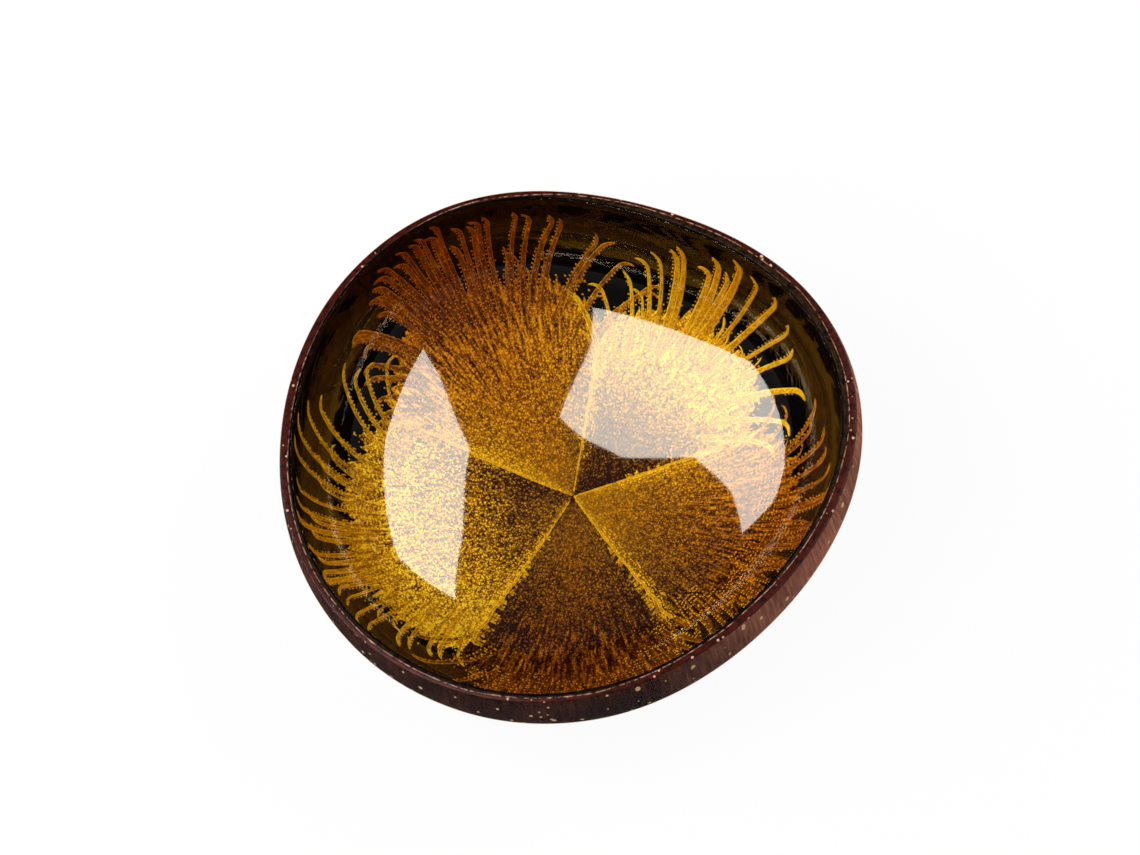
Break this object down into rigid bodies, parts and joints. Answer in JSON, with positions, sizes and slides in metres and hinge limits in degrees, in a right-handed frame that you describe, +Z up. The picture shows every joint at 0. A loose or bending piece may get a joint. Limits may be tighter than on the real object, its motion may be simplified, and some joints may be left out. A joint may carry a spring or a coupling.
{
  "type": "coconut shell bowl",
  "caption": "Shallow bowl sawn from a coconut shell, lacquered black inside with poured gold petals under a thick clear gloss coat, standing on a sanded flat foot.",
  "frame": {"origin": "centre of the sanded flat foot, in the plane that the bowl stands on", "axes": "+Z up out of the mouth, +X along the long way of the rim towards its thick side"},
  "size_m": [0.135, 0.128, 0.0496],
  "materials": {
    "coconut_shell": "satin",
    "clear_varnish": "gloss",
    "black_lacquer": "gloss",
    "gold_paint": "satin",
    "clear_lacquer": "polished"
  },
  "bodies": {
    "root": {"coconut_shell": "coconut_shell", "outer_varnish": "clear_varnish", "black_ground": "black_lacquer", "gold_pour_1": "gold_paint", "gold_pour_2": "gold_paint", "gold_pour_3": "gold_paint", "gold_pour_4": "gold_paint", "gold_pour_5": "gold_paint", "clear_topcoat": "clear_lacquer"}
  },
  "joints": []
}
